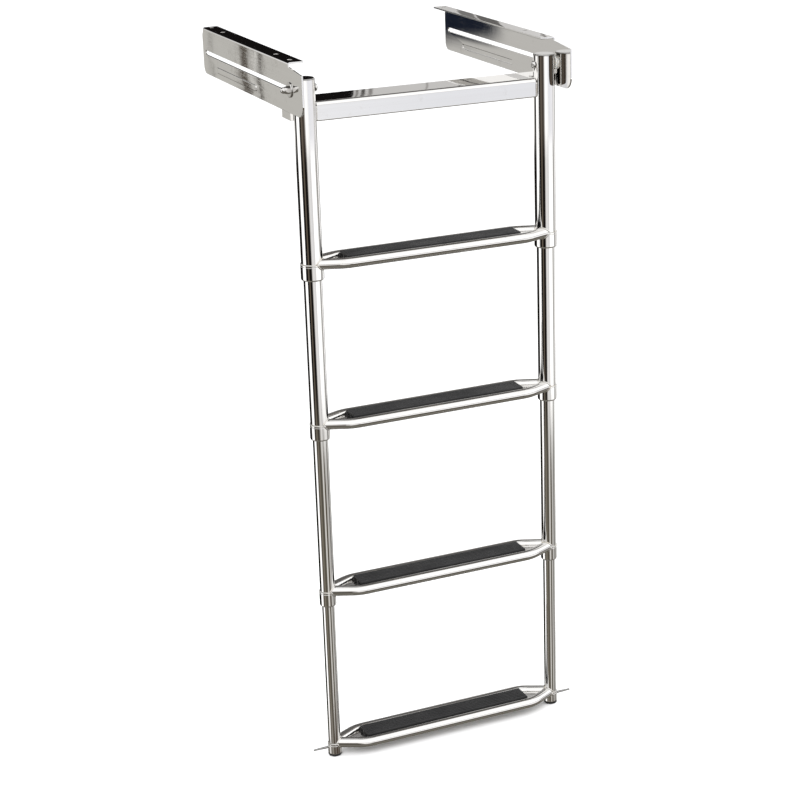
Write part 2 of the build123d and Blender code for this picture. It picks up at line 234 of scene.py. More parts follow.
def turned(name, profile, x, y, segments=96):
    """Hollow turned piece round the upright axis at (x, y), from the (radius, height, fillet)
    corners of its wall's section, anticlockwise."""
    section, section_normals = rounded(profile)
    points, normals, faces = [], [], []
    for (r, z), (nr, nz) in zip(section, section_normals):
        for c, s in circle(segments):
            points.append((x + r * c, y + r * s, z))
            normals.append((nr * c, nr * s, nz))
    for row in range(len(section)):
        after = (row + 1) % len(section)
        faces += ring_faces(row * segments, after * segments, segments)
    return new_object(name, mesh_from(name, points, faces, normals))


def bead_radius(run, length, radius, closed):
    """Radius of a weld bead after a run along it: rippled, and rounded off at an open one's tips."""
    wave = (run / RIPPLE) % 1.0
    rippled = radius * (1 + RIPPLE_SHARE * (1 - (2 * wave - 1) ** 2))
    if closed:
        return rippled
    nose = min(run, length - run, radius) / radius
    return rippled * max(BEAD_TIP, math.sqrt(1 - (1 - nose) ** 2))


def beads(name, seams):
    """Weld beads along seams, each with its points, its bead's radius and whether it is closed."""
    skew = (0.31, 0.17, 0.93)   # a direction that no seam starts along
    points, faces = [], []
    for line, radius, closed in seams:
        line = np.array(line)
        if closed:
            ways = np.roll(line, -1, 0) - np.roll(line, 1, 0)
        else:
            ways = np.gradient(line, axis=0)
        ways /= np.linalg.norm(ways, axis=1)[:, None]
        along = distances(line)
        first = len(points)
        side = np.cross(ways[0], skew)
        for at, way, run in zip(line, ways, along):
            side = side - way * (side @ way)
            side /= np.linalg.norm(side)
            up = np.cross(way, side)
            r = bead_radius(run, along[-1], radius, closed)
            points += [at + r * (c * side + s * up) for c, s in circle(BEAD_SIDES)]
        rings = range(first, len(points), BEAD_SIDES)
        for a, b in zip(rings, rings[1:]):
            faces += ring_faces(a, b, BEAD_SIDES)
        last = rings[-1]
        if closed:
            gaps = [np.linalg.norm(points[first + k] - points[last]) for k in range(BEAD_SIDES)]
            faces += ring_faces(last, first, BEAD_SIDES, shift=gaps.index(min(gaps)))
        else:
            faces.append(range(first + BEAD_SIDES - 1, first - 1, -1))
            faces.append(range(last, last + BEAD_SIDES))
    return new_object(name, mesh_from(name, points, faces))


def flatten_normals(obj, weight):
    """Shades flat faces flat, so that only the narrow rounded edges between them catch the light."""
    flat = obj.modifiers.new("flat faces", "WEIGHTED_NORMAL")
    flat.weight = weight


def softened(node, width, segments=2, rolled=None, rolled_width=0.0):
    """A copy of a CAD node with its sharp edges broken, which then stands for the node. Where
    rolled(edge) is true, an edge gets the larger rolled_width instead, and faces with more than
    four corners are cut up first, so that a notch in one isn't filled over."""
    sharp_angle = math.radians(32)
    bm = bmesh.new()
    bm.from_mesh(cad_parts[node].data)
    bmesh.ops.remove_doubles(bm, verts=bm.verts, dist=0.002 * MM)
    bmesh.ops.dissolve_limit(bm, angle_limit=math.radians(0.4), verts=bm.verts, edges=bm.edges)
    if rolled:
        many_sided = [face for face in bm.faces if len(face.verts) > 4]
        bmesh.ops.triangulate(bm, faces=many_sided, quad_method="BEAUTY", ngon_method="BEAUTY")
        share = bm.edges.layers.float.new("bevel_weight_edge")
        for edge in bm.edges:
            if edge.is_manifold and edge.calc_face_angle() > sharp_angle:
                edge[share] = 1.0 if rolled(edge) else width / rolled_width
    for face in bm.faces:
        face.smooth = True
    mesh = bpy.data.meshes.new(node + "_soft")
    bm.to_mesh(mesh)
    bm.free()
    obj = new_object(node + "_finished", mesh)
    bevel = obj.modifiers.new("edges", "BEVEL")
    bevel.width = rolled_width if rolled else width
    bevel.segments = segments
    bevel.limit_method = "WEIGHT" if rolled else "ANGLE"
    bevel.angle_limit = sharp_angle
    bevel.use_clamp_overlap = False
    flatten_normals(obj, 100)
    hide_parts(node)
    return obj


def finish_piece(obj, body, material):
    obj.data.materials.clear()
    obj.data.materials.append(material)
    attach(obj, body)


def paint(node, material):
    """A CAD node that stays as it is and only gets its material."""
    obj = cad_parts[node]
    obj.data.materials.clear()
    obj.data.materials.append(material)


# ---- node helpers -------------------------------------------------------------------------------

class Nodes:
    """Short ways to add nodes to an emptied shader tree."""

    def __init__(self, tree):
        self.tree = tree
        self.tree.nodes.clear()

    def put(self, socket, value):
        if isinstance(value, bpy.types.NodeSocket):
            self.tree.links.new(value, socket)
        else:
            socket.default_value = value

    def node(self, kind, inputs=None, **props):
        made = self.tree.nodes.new(kind)
        for key, value in props.items():
            setattr(made, key, value)
        for key, value in (inputs or {}).items():
            self.put(made.inputs[key], value)
        return made

    def math(self, operation, a, b=0.0):
        return self.node("ShaderNodeMath", {0: a, 1: b}, operation=operation).outputs[0]

    def spread(self, value, low, high, to_low=0.0, to_high=1.0, smooth=False):
        made = self.node("ShaderNodeMapRange", {
            "Value": value, "From Min": low, "From Max": high, "To Min": to_low, "To Max": to_high,
        })
        if smooth:
            made.interpolation_type = "SMOOTHSTEP"
        return made.outputs[0]

    def blend(self, share, a, b):
        """Colour a, going over to b as share rises from 0 to 1; each is a socket or three numbers."""
        a, b = (value if isinstance(value, bpy.types.NodeSocket) else (*value, 1) for value in (a, b))
        return self.node("ShaderNodeMix", {0: share, 6: a, 7: b}, data_type="RGBA").outputs[2]


class Surface(Nodes):
    """A Principled material whose textures lie in the piece's own coordinates."""

    def __init__(self, name):
        self.material = bpy.data.materials.new(name)
        self.material.use_nodes = True
        super().__init__(self.material.node_tree)
        self.bsdf = self.node("ShaderNodeBsdfPrincipled")
        self.node("ShaderNodeOutputMaterial", {"Surface": self.bsdf.outputs[0]})
        self.place = self.node("ShaderNodeTexCoord").outputs["Object"]

    def set(self, **values):
        for name, value in values.items():
            self.put(self.bsdf.inputs[name.replace("_", " ")], value)

    def noise(self, scale, detail=3.0, stretch=(1, 1, 1), roughness=0.5, distortion=0.0):
        moved = self.node("ShaderNodeMapping", {"Vector": self.place, "Scale": stretch}).outputs[0]
        made = self.node("ShaderNodeTexNoise", {
            "Vector": moved, "Scale": scale, "Detail": detail, "Roughness": roughness,
            "Distortion": distortion,
        })
        return made.outputs["Fac"]

    def bump(self, height, distance, normal=None):
        inputs = {"Height": height, "Distance": distance, "Strength": 1.0}
        if normal is not None:
            inputs["Normal"] = normal
        return self.node("ShaderNodeBump", inputs).outputs[0]


# ---- materials ----------------------------------------------------------------------------------

def polished_steel(name, grain, wave, rough=(0.035, 0.11), wave_scale=11.0, tone=1.0, lines=1.0):
    """Mirror-polished stainless steel: faint polishing lines along the grain, hairline scratches,
    water marks, and the slight unevenness of the surface, wave high, below the polish."""
    steel = [tone * part for part in (0.80, 0.79, 0.775)]
    stained = [tone * part for part in (0.70, 0.68, 0.655)]
    rough_low, rough_high = rough
    rough_range = rough_high - rough_low
    s = Surface(name)
    stretch = [0.012 if along else 1.0 for along in grain]
    brush = s.noise(1500.0, 2.0, stretch)
    coarse = s.noise(300.0, 3.0, stretch)
    cloud = s.noise(16.0, 4.0, roughness=0.6, distortion=0.4)
    marks = s.spread(s.noise(55.0, 5.0, roughness=0.65), 0.56, 0.70, smooth=True)
    folds = s.noise(34.0, 1.0, roughness=0.3, distortion=1.6)
    hair = s.spread(s.math("ABSOLUTE", s.math("SUBTRACT", folds, 0.5)), 0.0, 0.0035, 1.0, 0.0)

    r = s.spread(cloud, 0.35, 0.75, rough_low, rough_low + rough_range * 0.45)
    r = s.math("ADD", r, s.math("MULTIPLY", marks, rough_range * 0.4))
    r = s.math("ADD", r, s.math("MULTIPLY", s.spread(brush, 0.3, 0.7, -0.5, 0.5), 0.03 * lines))
    r = s.math("ADD", r, s.math("MULTIPLY", hair, 0.05))
    shade = s.math("ADD", marks, s.spread(coarse, 0.35, 0.8, 0.0, 0.6))
    normal = s.bump(s.noise(wave_scale, 1.5), wave)
    normal = s.bump(coarse, 0.0022 * MM * lines, normal)
    normal = s.bump(hair, 0.0008 * MM, normal)
    colour = s.blend(s.math("MULTIPLY", shade, 0.35), steel, stained)
    s.set(Base_Color=colour, Metallic=1.0, Roughness=r, Normal=normal)
    return s.material


def weld_steel(name):
    """Polished weld seam: a little uneven, with a trace of straw-coloured heat tint."""
    steel, straw = (0.74, 0.73, 0.71), (0.66, 0.58, 0.46)
    s = Surface(name)
    uneven = s.noise(420.0, 4.0, roughness=0.6)
    tint = s.spread(s.noise(90.0, 2.0), 0.4, 0.72, 0.0, 0.55, smooth=True)
    s.set(
        Base_Color=s.blend(tint, steel, straw), Metallic=1.0,
        Roughness=s.spread(uneven, 0.3, 0.75, 0.09, 0.26), Normal=s.bump(uneven, 0.06 * MM),
    )
    return s.material


def ribbed_rubber(name):
    """Black rubber: moulded grain, dull and dusty in the grooves, rubbed smooth on the ribs, where
    the mesh's crown is 1."""
    black, rubbed, dusty = (0.0085, 0.0085, 0.009), (0.021, 0.021, 0.022), (0.055, 0.053, 0.050)
    s = Surface(name)
    crown = s.node("ShaderNodeAttribute", attribute_name="crown").outputs["Fac"]
    grain = s.noise(1900.0, 2.0, roughness=0.7)
    drag = s.noise(260.0, 3.0, (0.12, 1, 1))
    patch = s.noise(22.0, 4.0, roughness=0.6)
    worn = s.math("MULTIPLY", crown, s.spread(patch, 0.3, 0.7, 0.35, 1.0))
    dust = s.math("MULTIPLY", s.math("SUBTRACT", 1.0, crown), s.spread(patch, 0.4, 0.75, 0.1, 0.8))
    colour = s.blend(s.math("MULTIPLY", dust, 0.35), s.blend(worn, black, rubbed), dusty)
    streaks = s.math("MULTIPLY", s.spread(drag, 0.3, 0.7, -0.5, 0.5), 0.14)
    r = s.math("ADD", s.spread(worn, 0.0, 1.0, 0.62, 0.17), streaks)
    normal = s.bump(drag, 0.04 * MM, s.bump(grain, 0.05 * MM))
    s.set(Base_Color=colour, Roughness=r, Normal=normal, Specular_IOR_Level=0.36)
    return s.material


def moulded_plastic(name, low, high, rough, grain_scale):
    """Moulded or turned plastic with faint marks and a fine grain."""
    s = Surface(name)
    cloud = s.noise(70.0, 4.0)
    grain = s.noise(grain_scale, 2.0, roughness=0.7)
    r = s.spread(cloud, 0.3, 0.7, rough - 0.08, rough + 0.1)
    s.set(
        Base_Color=s.blend(s.spread(cloud, 0.3, 0.75), low, high),
        Roughness=s.math("ADD", r, s.math("MULTIPLY", grain, 0.06)),
        Normal=s.bump(grain, 0.03 * MM),
    )
    return s


def nylon_plastic(name):
    """Natural nylon, which lets a little light in."""
    s = moulded_plastic(name, (0.70, 0.69, 0.65), (0.78, 0.77, 0.74), 0.42, 1600.0)
    s.set(Subsurface_Weight=0.25, Subsurface_Radius=(4.0 * MM, 3.5 * MM, 3.0 * MM), Subsurface_Scale=0.5)
    return s.material


UPRIGHT, ACROSS, ALONG = (0, 0, 1), (1, 0, 0), (0, 1, 0)
MIRROR, SATIN, DULL = (0.012, 0.07), (0.05, 0.14), (0.12, 0.24)
tube_steel = polished_steel("polished_tube_steel", UPRIGHT, 0.05 * MM, wave_scale=16.0)
rail_steel = polished_steel("polished_rail_steel", ACROSS, 0.05 * MM, wave_scale=18.0)
track_steel = polished_steel("polished_track_steel", ALONG, 0.06 * MM, MIRROR, wave_scale=9.0)
bar_steel = polished_steel("polished_bar_steel", ACROSS, 0.06 * MM, MIRROR, wave_scale=9.0)
tray_steel = polished_steel("tray_sheet_steel", ACROSS, 0.12 * MM, DULL, lines=2.2)
bolt_steel = polished_steel("bolt_head_steel", ACROSS, 0.02 * MM, (0.03, 0.11), tone=0.86)
pin_steel = polished_steel("side_pin_steel", ACROSS, 0.02 * MM, SATIN, tone=0.42)
# The top caps get a darker tone of the same polished steel: painted shade, which stands in for the dark
# reflections on their rims.
shade_darkened_caps = polished_steel("top_cap_painted_shade_steel", ACROSS, 0.03 * MM, SATIN, tone=0.48)
seam_steel = weld_steel("weld_seam_steel")
rubber = ribbed_rubber("tread_rubber_ribbed")
nylon = nylon_plastic("nylon_turned")
plug_plastic = moulded_plastic(
    "plug_plastic_black", (0.011, 0.011, 0.012), (0.02, 0.02, 0.021), 0.45, 1400.0,
).material


# ---- tracks, bolts and crossbar -----------------------------------------------------------------

def apron_foot(edge):
    """True for the edges along the lower front of the crossbar."""
    near = 0.1 * MM
    return all(v.co.z < BAR_LOW.z + near and v.co.y < BAR_LOW.y + near for v in edge.verts)


def top_pieces():
    """Tracks, the bolts that slide in them, and the crossbar."""
    for name, _ in SIDES:
        finish_piece(softened(f"{name}_track", TRACK_EDGE), "tracks", track_steel)
        bolt = softened(f"{name}_pivot_bolt", BOLT_EDGE)
        finish_piece(bolt, "pivot_carriage", bolt_steel)
    washers = softened("outer_washers", WASHER_EDGE)
    finish_piece(washers, "pivot_carriage", bolt_steel)
    crossbar = softened("crossbar", BAR_EDGE, segments=4, rolled=apron_foot, rolled_width=BAR_FOOT_ROLL)
    finish_piece(crossbar, "upper_frame", bar_steel)


def crossbar_seams(side):
    """Seams of the crossbar on one upper tube: down its front apron and along its top."""
    x = side * (LEG_X - TUBE_R[0] + SEAM_PROUD)
    front, top = BAR_LOW.y + 0.4 * MM, BAR_HIGH.z
    down = [(x, front, BAR_LOW.z + 0.8 * MM), (x, front, top - 6 * MM)]
    back = [(x, BAR_LOW.y + 5 * MM, top), (x, BAR_LOW.y + 23 * MM, top)]
    return [(evenly_spaced(down), BAR_FRONT_BEAD, False), (evenly_spaced(back), BAR_TOP_BEAD, False)]


# ---- legs ---------------------------------------------------------------------------------------

def collar(name, side, i):
    """Turned collar with a rolled bead round its top, a shallow groove under it and a rounded foot."""
    low, high = COLLAR_Z[i]
    outer, inner = COLLAR_R[i], TUBE_R[i] + COLLAR_FIT
    bore = TUBE_R[i + 1] + GUIDE_GAP if i < LAST else TUBE_R[i] - TUBE_WALL
    groove_top = high - BEAD_H
    groove_foot = groove_top - GROOVE_H
    profile = [
        (bore, low, 0.3 * MM), (outer, low, 2.6 * MM),
        (outer, groove_foot, 0.2 * MM), (outer - GROOVE_DEPTH, groove_foot + GROOVE_FLANK, 0.15 * MM),
        (outer - GROOVE_DEPTH, groove_top - GROOVE_FLANK, 0.15 * MM), (outer, groove_top, 0.5 * MM),
        (outer, high, 0.55 * MM), (inner, high, 0.1 * MM),
        (inner, low + COLLAR_LIP, 0.1 * MM), (bore, low + COLLAR_LIP, 0.3 * MM),
    ]
    obj = turned(f"{name}_{STAGES[i]}_collar_turned", profile, side * LEG_X, LEG_Y)
    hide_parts(f"{name}_{STAGES[i]}_collar")
    finish_piece(obj, BODIES[i], tube_steel)


def collar_seam(side, i):
    """Seam where a tube goes into its collar."""
    radius, z = TUBE_R[i] + SEAM_PROUD, STEP_Z[i] + 0.3 * MM
    line = [(side * LEG_X + radius * c, LEG_Y + radius * s, z) for c, s in circle(260)]
    return line, COLLAR_BEAD, True


def pin_seam(side):
    """Seam round the root of a side pin, on the last collar."""
    x = side * (LEG_X + COLLAR_R[LAST] - 0.15 * MM)
    line = [(x, LEG_Y + PIN_SEAM_R * c, PIN_Z + PIN_SEAM_R * s) for c, s in circle(40)]
    return line, PIN_BEAD, True


# ---- steps --------------------------------------------------------------------------------------

def rail_line(i, sign):
    """Centreline in plan of the front (sign -1) or back (1) rail, and its normals away from the pad."""
    root, side = LEG_Y + sign * RAIL_ROOT_Y[i], LEG_Y + sign * RAIL_Y
    corners = [
        (-LEG_X, root, 0), (-RAIL_BEND_X, side, RAIL_BEND_RADIUS),
        (RAIL_BEND_X, side, RAIL_BEND_RADIUS), (LEG_X, root, 0),
    ]
    points, normals = rounded(corners, closed=False, step_deg=2)
    return points, -sign * normals


def leg_seam(i, side):
    """Seam where the two rails of a step meet a leg: one closed line on the leg round both rails.
    Above the rails' centre the leg is the tube, and below it the wider collar."""
    step_down = 0.8 * MM
    loop = []
    for sign in (-1, 1):
        root = np.array((0, sign * RAIL_ROOT_Y[i]))
        way = np.array((LEG_X - RAIL_BEND_X, sign * (RAIL_ROOT_Y[i] - RAIL_Y)))
        way /= np.linalg.norm(way)
        across = np.array((-way[1], way[0])) * sign
        line = []
        for angle in np.radians(np.arange(-180, 180, 1.5)):
            rise = RAIL_R * math.sin(angle)
            collar_share = min(max((step_down - rise) / (2 * step_down), 0), 1)
            leg = TUBE_R[i] + (COLLAR_R[i] - TUBE_R[i]) * collar_share
            start = root + RAIL_R * math.cos(angle) * across
            inside = (start @ way) ** 2 - start @ start + leg * leg
            if inside < 0:
                continue
            x, y = start - (start @ way + math.sqrt(inside)) * way
            if y * sign >= 0:
                line.append((side * (LEG_X + x), LEG_Y + y, STEP_Z[i] + rise))
        loop += line[::-sign]
    return loop


def fork_seam(i, side):
    """Seam where the two rails meet each other, from the leg over the top to the fork and back
    below. It is empty where the leg is as wide as the fork."""
    slope = (RAIL_Y - RAIL_ROOT_Y[i]) / (LEG_X - RAIL_BEND_X)
    lean = math.cos(math.atan(slope))
    fork_x = (RAIL_R / lean - RAIL_ROOT_Y[i]) / slope
    upper, lower = [], []
    for inset in np.arange(TUBE_R[i] - 0.5 * MM, fork_x, 0.3 * MM):
        x = side * (LEG_X - inset)
        rise = math.sqrt(RAIL_R ** 2 - ((RAIL_ROOT_Y[i] + slope * inset) * lean) ** 2)
        upper.append((x, LEG_Y, STEP_Z[i] + rise))
        lower.append((x, LEG_Y, STEP_Z[i] - rise))
    return upper + lower[::-1]


def step_seams(i):
    """All weld seams of one step: at both legs, in the forks, at the tray's ends, and the stitches
    under the tray."""
    seams = []
    for _, side in SIDES:
        loop = leg_seam(i, side)
        seams.append((evenly_spaced(loop + loop[:1])[:-1], LEG_BEAD, True))
        fork = fork_seam(i, side)
        if fork:
            seams.append((evenly_spaced(fork), FORK_BEAD, False))
    tray_end, leg_face = PAD_LENGTH / 2 - 3 * MM, LEG_X - TUBE_R[i] - 2 * MM
    top, under = STEP_Z[i] + TRAY_HALF + 0.15 * MM, STEP_Z[i] - TRAY_HALF - 0.2 * MM
    beside = RAIL_R + 0.25 * MM
    for sign in (-1, 1):
        points, normals = rail_line(i, sign)
        inner = points - normals * beside
        for _, side in SIDES:
            line = [(x, y, top) for x, y in inner if tray_end < side * x < leg_face]
            seams.append((evenly_spaced(line), TRAY_BEAD, False))
        y = LEG_Y + sign * (RAIL_Y - beside)
        for x in STITCH_X:
            line = [(x - STITCH_HALF, y, under), (x + STITCH_HALF, y, under)]
            seams.append((evenly_spaced(line), STITCH_BEAD, False))
    return seams


def collars_and_seams(i):
    """Collars of one stage, and all its weld seams as one piece."""
    seams = step_seams(i)
    for name, side in SIDES:
        collar(name, side, i)
        seams.append(collar_seam(side, i))
        if i == LAST:
            seams.append(pin_seam(side))
        if i == 0:
            seams += crossbar_seams(side)
    finish_piece(beads(f"step_{i + 1}_weld_seams", seams), BODIES[i], seam_steel)


# ---- tread pads ---------------------------------------------------------------------------------

def pad_outline():
    """Outside of the pad's section in (y, z, fillet), anticlockwise, with its ribs."""
    foot_y = PAD_HALF_WIDTH - PAD_FOOT_INSET
    half = [
        (foot_y, PAD_BASE, 0.3 * MM), (foot_y, PAD_BASE + PAD_EDGE, 0.6 * MM),
        (PAD_HALF_WIDTH, PAD_TOP - PAD_EDGE, 0.5 * MM), (PAD_HALF_WIDTH, PAD_TOP, 0.45 * MM),
    ]
    ribs = []
    for k in range(RIB_COUNT - 1, -1, -1):
        y = (k - (RIB_COUNT - 1) / 2) * RIB_PITCH
        ribs += [
            (y + RIB_FOOT_HALF, PAD_TOP, 0.35 * MM), (y + RIB_TOP_HALF, PAD_CROWN, 0.5 * MM),
            (y - RIB_TOP_HALF, PAD_CROWN, 0.5 * MM), (y - RIB_FOOT_HALF, PAD_TOP, 0.35 * MM),
        ]
    mirrored = [(-y, z, radius) for y, z, radius in half[::-1]]
    return mirrored[-1:] + half + ribs + mirrored[:-1]


def pad_hollow(side):
    """Outline of the hollow on one side of the pad's spine, anticlockwise."""
    floor, roof = PAD_BASE + PAD_FLOOR, PAD_TOP - PAD_ROOF
    top_y = PAD_HALF_WIDTH - PAD_WALL
    floor_y = top_y - PAD_FOOT_INSET + 0.4 * MM
    loop = [
        (PAD_SPINE_Y, floor, 0.6 * MM), (floor_y, floor, 0.6 * MM),
        (top_y, roof, 0.8 * MM), (PAD_SPINE_Y, roof, 0.8 * MM),
    ]
    return loop if side > 0 else [(-y, z, radius) for y, z, radius in loop[::-1]]


def pad_stations():
    """(x, inset) of the sections along a pad; the insets round off its cut ends."""
    half, cut = PAD_LENGTH / 2, 0.35 * MM
    end = [(-half, cut), (-half + 0.12 * MM, 0.14 * MM), (-half + cut, 0.0)]
    inner = np.linspace(-half + 6 * MM, half - 6 * MM, 25)
    return end + [(x, 0.0) for x in inner] + [(-x, inset) for x, inset in end[::-1]]


def pad_ring(bm, x, height, section, inset=0.0):
    """Points of a section at x, drawn in by inset; crown goes from 0 in the grooves to 1 on the ribs."""
    crown = bm.verts.layers.float["crown"]
    made = []
    for (y, z), (ny, nz) in zip(*section):
        v = bm.verts.new((x, LEG_Y + y - ny * inset, height + z - nz * inset))
        v[crown] = min(max((z - PAD_TOP) / RIB_HEIGHT, 0.0), 1.0)
        made.append(v)
    return made


def following(ring):
    """Each point of a closed ring with the one after it."""
    return zip(ring, ring[1:] + ring[:1])


def join_rings(bm, first, second):
    for (a, a_next), (b, b_next) in zip(following(first), following(second)):
        bm.faces.new((a_next, b_next, b, a))


def close_pad_end(bm, x, inward, rim, height, hollows):
    """Cut end of a pad: the two hollows and the flat rubber round them."""
    rings = [rim]
    for section in hollows:
        mouth = pad_ring(bm, x, height, section)
        bottom = pad_ring(bm, x + inward * PAD_HOLLOW_DEPTH, height, section, inset=0.25 * MM)
        join_rings(bm, mouth, bottom)
        bm.faces.new(bottom)
        rings.append(mouth)
    pairs = [pair for ring in rings for pair in following(ring)]
    edges = [bm.edges.get(pair) or bm.edges.new(pair) for pair in pairs]
    facing = (-inward, 0, 0)
    bmesh.ops.triangle_fill(bm, use_beauty=True, use_dissolve=False, edges=edges, normal=facing)


def tread_pad(i):
    """Extruded rubber pad: ribbed top, slightly rounded cut ends, hollows open at the ends."""
    outside = rounded(pad_outline(), step_deg=22)
    hollows = [rounded(pad_hollow(side), step_deg=30) for side in (1, -1)]
    bm = bmesh.new()
    bm.verts.layers.float.new("crown")
    rings = [pad_ring(bm, x, STEP_Z[i], outside, inset) for x, inset in pad_stations()]
    for first, second in zip(rings, rings[1:]):
        join_rings(bm, first, second)
    close_pad_end(bm, -PAD_LENGTH / 2, 1, rings[0], STEP_Z[i], hollows)
    close_pad_end(bm, PAD_LENGTH / 2, -1, rings[-1], STEP_Z[i], hollows)
    bmesh.ops.recalc_face_normals(bm, faces=bm.faces)
    for face in bm.faces:
        face.smooth = True
    name = f"step_{i + 1}_ribbed_pad"
    mesh = bpy.data.meshes.new(name)
    bm.to_mesh(mesh)
    bm.free()
    pad = new_object(name, mesh)
    flatten_normals(pad, 60)
    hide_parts(f"step_{i + 1}_tread_pad")
    finish_piece(pad, BODIES[i], rubber)


# ---- CAD nodes that stay ------------------------------------------------------------------------

def paint_kept_nodes():
    paint("acorn_nuts", bolt_steel)
    paint("slide_washers", nylon)
    for name, _ in SIDES:
        paint(f"{name}_top_cap", shade_darkened_caps)
        paint(f"{name}_end_plug", plug_plastic)
        paint(f"{name}_side_pin", pin_steel)
        for stage in STAGES:
            paint(f"{name}_{stage}_tube", tube_steel)
    for i, stage in enumerate(STAGES):
        if i < LAST:
            paint(f"{stage}_guide_bushes", nylon)
        if i > 0:
            paint(f"{stage}_stop_sleeves", nylon)
        paint(f"step_{i + 1}_front_rail", rail_steel)
        paint(f"step_{i + 1}_back_rail", rail_steel)
        paint(f"step_{i + 1}_tray", tray_steel)
        paint(f"step_{i + 1}_pad_rivets", bolt_steel)


# ---- studio -------------------------------------------------------------------------------------

WHITE, BRIGHT = (1.25, 1.25, 1.25), (1.5, 1.5, 1.5)
SOOT, TAR = (0.012, 0.010, 0.009), (0.008, 0.007, 0.006)
BROWN, GREY = (0.075, 0.055, 0.04), (0.60, 0.59, 0.57)

# What polished metal sees all round it, as (bearing, red, green, blue). A bearing is in degrees: 0 is
# outboard and 90 is +X. Each table is for one band of heights: the skirting line, three parts of
# the walls below it, the far floor, and the walls above it.
SKIRTING = (
    (-180, 0.62, 0.61, 0.59), (-125, 0.70, 0.69, 0.67), (-80, 0.20, 0.185, 0.16), (-35, 0.24, 0.22, 0.19),
    (-12, 0.80, 0.79, 0.79), (60, 0.90, 0.89, 0.89), (84, 0.52, 0.51, 0.50), (100, 0.78, 0.77, 0.76),
    (140, 0.45, 0.44, 0.42), (180, 0.62, 0.61, 0.59),
)
WALLS_MID = (
    (-180, *WHITE), (-169, 0.55, 0.54, 0.51), (-160, 0.57, 0.56, 0.53), (-151, *GREY), (-149.5, *SOOT),
    (-127, *SOOT), (-122, *BRIGHT), (-89, *BRIGHT), (-85, 0.012, 0.010, 0.008), (-72, 0.015, 0.012, 0.010),
    (-66, 0.15, 0.125, 0.10), (-52, 0.13, 0.105, 0.085), (-46, 0.06, 0.05, 0.04), (-33, 0.09, 0.075, 0.06),
    (-25, 0.55, 0.53, 0.51), (-14, *BRIGHT), (8, *WHITE), (24, 0.96, 0.975, 1.03), (70, 1.05, 1.05, 1.1),
    (84, 0.7, 0.69, 0.68), (98, *WHITE), (122, 0.35, 0.34, 0.33), (146, 0.12, 0.11, 0.10), (156, *WHITE),
)
WALLS_LOW = (
    (-180, *TAR), (-127, *TAR), (-121, *BRIGHT), (-89, *BRIGHT), (-84, 0.005, 0.004, 0.004),
    (-66, 0.006, 0.005, 0.004), (-61, 0.16, 0.13, 0.10), (-53, 0.14, 0.115, 0.09), (-48, 0.007, 0.006, 0.005),
    (-27, 0.010, 0.008, 0.007), (-19, 0.80, 0.78, 0.76), (-12, 0.94, 0.93, 0.93), (14, 0.82, 0.81, 0.82),
    (21, *BRIGHT), (66, *BRIGHT), (74, 0.42, 0.41, 0.40), (95, 0.46, 0.45, 0.44), (103, *WHITE),
    (120, *WHITE), (128, 0.13, 0.125, 0.12), (148, 0.15, 0.145, 0.14), (154, *GREY), (170, *GREY),
    (174, *TAR),
)
WALLS_DEEP = (
    (-180, *TAR), (-121, *TAR), (-117, *BRIGHT), (-90, *BRIGHT), (-83, 0.10, 0.085, 0.07),
    (-70, 0.11, 0.095, 0.075), (-62, 0.24, 0.215, 0.175), (-48, 0.20, 0.18, 0.145), (-38, 0.10, 0.09, 0.07),
    (-15, 0.14, 0.125, 0.10), (-9, 0.85, 0.83, 0.80), (8, 0.66, 0.65, 0.62), (14, 0.085, 0.065, 0.045),
    (30, 0.085, 0.065, 0.045), (35, *GREY), (62, 0.56, 0.55, 0.53), (69, 0.16, 0.15, 0.14),
    (86, 0.18, 0.17, 0.16), (93, 0.72, 0.71, 0.69), (118, 0.72, 0.71, 0.69), (126, 0.04, 0.037, 0.034),
    (170, 0.04, 0.037, 0.034),
)
FAR_FLOOR = (
    (-180, 0.16, 0.14, 0.12), (-128, 0.10, 0.085, 0.07), (-120, 0.80, 0.78, 0.75), (-92, 0.80, 0.78, 0.75),
    (-85, 0.12, 0.10, 0.08), (-70, 0.14, 0.12, 0.10), (-62, 0.40, 0.38, 0.35), (-42, 0.30, 0.28, 0.25),
    (-28, *BROWN), (76, *BROWN), (84, 0.30, 0.28, 0.26), (92, 0.62, 0.61, 0.59), (118, 0.55, 0.54, 0.52),
    (128, 0.075, 0.06, 0.045), (168, 0.075, 0.06, 0.045),
)
UPPER_WALLS = (
    (-180, 0.008, 0.007, 0.007), (-168, 0.006, 0.005, 0.005), (-160, *WHITE), (-80, *BRIGHT),
    (-60, 0.5, 0.49, 0.47), (-40, *WHITE), (60, *BRIGHT), (148, *WHITE), (154, 0.62, 0.61, 0.60),
    (160, 0.62, 0.61, 0.60), (172, 0.008, 0.007, 0.007), (180, 0.008, 0.007, 0.007),
)

# Posts and gaps between the wall panels, as (from, to, red, green, blue)
MID_STRIPES = (
    (-161.75, -161.50, 0.10, 0.085, 0.07), (-161.44, -161.26, 0.70, 0.69, 0.66),
    (-161.26, -161.12, 0.06, 0.05, 0.04), (-162.6, -162.52, 0.36, 0.35, 0.33),
)
UPPER_STRIPES = (
    (153.0, 153.12, 0.30, 0.29, 0.28), (154.3, 154.95, 0.14, 0.135, 0.13), (155.02, 155.5, 0.20, 0.195, 0.19),
    (156.4, 156.46, 0.36, 0.35, 0.34), (158.0, 158.12, 0.26, 0.25, 0.24), (158.22, 158.34, 0.10, 0.095, 0.09),
    (158.42, 158.5, 0.22, 0.21, 0.20), (158.56, 172.0, 0.007, 0.006, 0.006),
)
NADIR, GROUND = (0.13, 0.12, 0.10), (0.20, 0.19, 0.165)
CEILING, ZENITH = (1.3, 1.3, 1.3), (0.95, 0.95, 0.96)
CEILING_EDGE = (0.13, 0.125, 0.12)
DARK_BLUE = (0.010, 0.014, 0.026)


